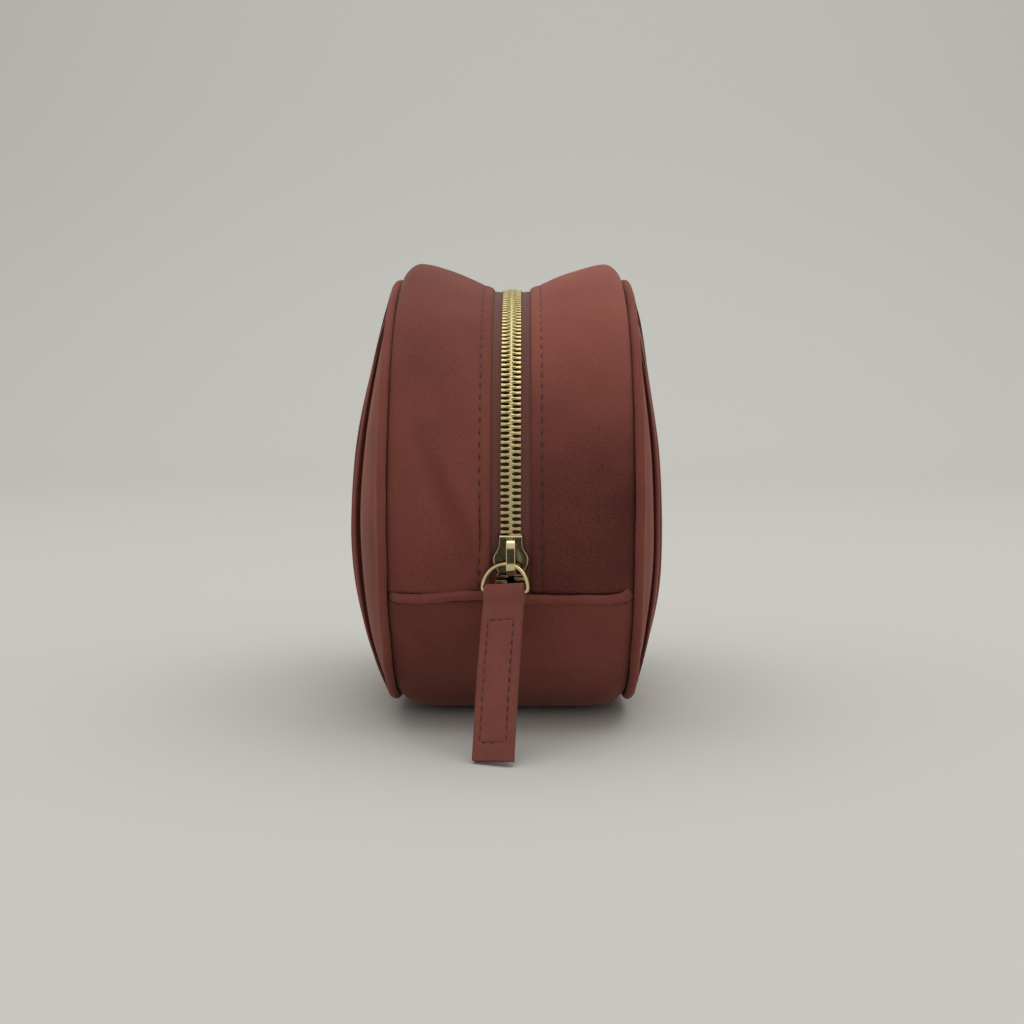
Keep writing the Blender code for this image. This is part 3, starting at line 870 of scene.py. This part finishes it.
TAB_LEAN = radians(25)
TAB_HALF_WIDTH = 0.0061
TAB_HALF_THICKNESS = 0.00135
FOLD_RADIUS = 0.0022
TAB_CLEARANCE = 0.0004
SEWN_HALF = 0.0039
SEWN_FROM, SEWN_TO = 0.0094, 0.0452
TAB_BEND = 0.0007
FOLD_SHARE, TIP_SHARE = 0.08, 0.97
TIP_ROUNDING = 0.00025

bar_centre = ring_pivot + PULL_SHIFT + ring_frame @ Vector((RING_RADIUS + RING_CORNER, 0, 0))
tab_frame = hanging(TAB_LEAN)
tab_reach = (bar_centre.z - TAB_HALF_THICKNESS * sin(TAB_LEAN)) / cos(TAB_LEAN) - TAB_CLEARANCE


def tab_length(v):
    """Along the tab from the ring's bar, and how much its section has closed: ends are rounded."""
    if v < FOLD_SHARE:
        turn = v / FOLD_SHARE * pi / 2
        return -FOLD_RADIUS * cos(turn), sin(turn)
    if v > TIP_SHARE:
        close = (v - TIP_SHARE) / (1 - TIP_SHARE)
        return tab_reach - TIP_ROUNDING * (1 - min(1.0, close * 2)), 1 - max(0.0, close * 2 - 1)
    return (v - FOLD_SHARE) / (TIP_SHARE - FOLD_SHARE) * (tab_reach - TIP_ROUNDING), 1.0


def tab_place(u, v):
    down, closing = tab_length(v)
    flat = eased(down, 0.0006, 0.0055)
    half = FOLD_RADIUS + (TAB_HALF_THICKNESS - FOLD_RADIUS) * flat
    across, back = rounded_section(u, TAB_HALF_WIDTH, half, 0.0005)
    if v > TIP_SHARE:
        across *= min(1.0, 0.35 + closing) if closing < 1 else 1.0
        across, back = across * (closing if closing < 1 else 1.0), back * closing
    elif v < FOLD_SHARE:
        back *= closing
    inside = SEWN_FROM < down < SEWN_TO and abs(across) < SEWN_HALF
    channel = hill(abs(across), SEWN_HALF, 0.0004) * eased(down, SEWN_FROM - 0.0006, SEWN_FROM) * (
        1 - eased(down, SEWN_TO, SEWN_TO + 0.0006)
    )
    if abs(across) < SEWN_HALF:
        channel = max(channel, hill(down, SEWN_FROM, 0.0004), hill(down, SEWN_TO, 0.0004))
    puff = 0.00018 * noise.noise(Vector((across * 200, down * 90, 4)))
    if abs(back) > 0.6 * half:
        back *= 1 + (0.00012 * inside + puff - 0.00028 * channel) / half
    seam = hill(back, 0.0, 0.00025) * flat
    across *= 1 - 0.05 * seam
    bend = TAB_BEND * sin(pi * min(1.0, max(0.0, down / tab_reach)))
    wave = 0.00025 * noise.noise(Vector((down * 70, 8, across * 60))) * flat
    return bar_centre + tab_frame @ Vector((down, back - bend + wave, across))


tab_velvet = velvet("tab_velvet", "#4f2821", "#92554a")
shape = laid_grid(160, 260, 0.026, 0.055, tab_place, lambda u, v: 0.5)
bmesh.ops.recalc_face_normals(shape, faces=shape.faces)
as_piece("velvet_pull_tab", shape, tab_velvet, ["pull_tab"], body="tab", sharp=180)


def tab_stitches(sign):
    """The rectangle of stitches on the front or the back of the tab."""
    row = []
    long_count, short_count, half = 13, 3, 0.00085
    out = tab_frame @ Vector((0, sign, 0))
    deep = TAB_HALF_THICKNESS - 0.00022
    for edge in (-SEWN_HALF, SEWN_HALF):
        for number in range(long_count):
            middle = SEWN_FROM + (number + 0.5) / long_count * (SEWN_TO - SEWN_FROM)
            row.append([(middle - half, edge), (middle + half, edge)])
    for down in (SEWN_FROM, SEWN_TO):
        for number in range(short_count):
            middle = (number + 0.5) / short_count * 2 * SEWN_HALF - SEWN_HALF
            row.append([(down, middle - half), (down, middle + half)])
    placed = []
    for ends in row:
        spots = []
        for down, across in ends:
            bend = TAB_BEND * sin(pi * down / tab_reach)
            spots.append(bar_centre + tab_frame @ Vector((down, sign * deep - bend, across)))
        placed.append((*spots, out))
    return placed


sewn_row("tab_stitching", tab_stitches(-1) + tab_stitches(1), thread_painted_shade, body="tab")


# ---- The linings and paddings ----
# Out of sight inside: a woven polyester lining, and thin foam that keeps the gusset and faces full.

def woven_lining(name, dark, light):
    """Plain-woven polyester lining, its yarns 0.35 mm apart, with a slight satin sheen."""
    look, tree = new_look(name)
    place = node(tree, "TexCoord")
    yarns = node(tree, "TexChecker", {"Vector": place.outputs["Object"], "Scale": 1 / 0.00035})
    colour = node(tree, "Mix", {"Factor": yarns.outputs["Fac"], "A": linear(dark), "B": linear(light)},
                  data_type="RGBA")
    bump = node(tree, "Bump", {"Height": yarns.outputs["Fac"], "Strength": 0.3, "Distance": 0.0001})
    shader = node(tree, "BsdfPrincipled",
                  {"Base Color": colour.outputs["Result"], "Normal": bump.outputs[0], "Roughness": 0.5})
    node(tree, "OutputMaterial", {"Surface": shader.outputs[0]})
    return look


def open_foam(name, dark, light):
    """Open-cell polyurethane foam with cells about 0.6 mm across."""
    look, tree = new_look(name)
    place = node(tree, "TexCoord")
    cells = node(tree, "TexVoronoi", {"Vector": place.outputs["Object"], "Scale": 1 / 0.0006})
    colour = node(tree, "Mix", {"Factor": cells.outputs["Distance"], "A": linear(light), "B": linear(dark)},
                  data_type="RGBA")
    bump = node(tree, "Bump", {"Height": cells.outputs["Distance"], "Strength": 0.5, "Distance": 0.0003},
                invert=True)
    shader = node(tree, "BsdfPrincipled",
                  {"Base Color": colour.outputs["Result"], "Normal": bump.outputs[0], "Roughness": 0.95})
    node(tree, "OutputMaterial", {"Surface": shader.outputs[0]})
    return look


lining_cloth = woven_lining("lining_weave", "#8d6a5d", "#b08a7b")
foam = open_foam("open_cell_foam", "#a8a195", "#dcd7cc")
for name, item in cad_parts.items():
    if "lining" in name or "padding" in name:
        item.data.materials.clear()
        item.data.materials.append(lining_cloth if "lining" in name else foam)


# ---- The stage: floor, light and camera ----
# A pale sweep of paper under soft, even light from above.

def paper(name, colour):
    """Matt coated paper, even and pale."""
    look, tree = new_look(name)
    shader = node(tree, "BsdfPrincipled",
                  {"Base Color": linear(colour), "Roughness": 0.9, "Specular IOR Level": 0.15})
    node(tree, "OutputMaterial", {"Surface": shader.outputs[0]})
    return look


SWEEP_WIDTH, SWEEP_LENGTH = 10, 7
SWEEP_SIDE = [
    (-3.0, 0.0), (-1.5, 0.0), (0.0, 0.0), (0.9, 0.0), (1.5, 0.08), (1.95, 0.5), (2.1, 1.4), (2.1, 3.0)
]


def sweep_place(u, v):
    """A floor that curves up behind the bag."""
    y, z = smooth_path(SWEEP_SIDE, v)
    return Vector(((u - 0.5) * SWEEP_WIDTH, y, z))


shape = laid_grid(4, 70, SWEEP_WIDTH, SWEEP_LENGTH, sweep_place)
mesh = bpy.data.meshes.new("paper_sweep")
shape.to_mesh(mesh)
shape.free()
mesh.materials.append(paper("pale_paper", "#c4c3be"))
mesh.shade_smooth()
floor = bpy.data.objects.new("paper_sweep", mesh)
bpy.context.scene.collection.objects.link(floor)

world = bpy.data.worlds.new("studio")
world.use_nodes = True
world.node_tree.nodes["Background"].inputs["Color"].default_value = linear("#f4f3f1")
world.node_tree.nodes["Background"].inputs["Strength"].default_value = 0.76
bpy.context.scene.world = world


def softbox(name, place, target, size, power):
    light = bpy.data.lights.new(name, "AREA")
    light.shape = "RECTANGLE"
    light.size, light.size_y = size
    light.energy = power
    lamp = bpy.data.objects.new(name, light)
    bpy.context.scene.collection.objects.link(lamp)
    lamp.location = place
    lamp.rotation_euler = (Vector(target) - Vector(place)).to_track_quat("-Z", "Y").to_euler()


softbox("top_softbox", (0.15, 0.3, 1.9), (0, 0.3, 0), (2.4, 2.3), 24)

camera = bpy.data.cameras.new("camera")
camera.lens = 43.95
camera.sensor_width = 36
camera.clip_start = 0.01
viewer = bpy.data.objects.new("camera", camera)
bpy.context.scene.collection.objects.link(viewer)
viewer.location = (0.0033, -0.4462, 0.0977)
viewer.rotation_euler = (radians(90 - 4.33), 0, radians(0.45))
bpy.context.scene.camera = viewer
bpy.context.scene.view_settings.view_transform = "Standard"
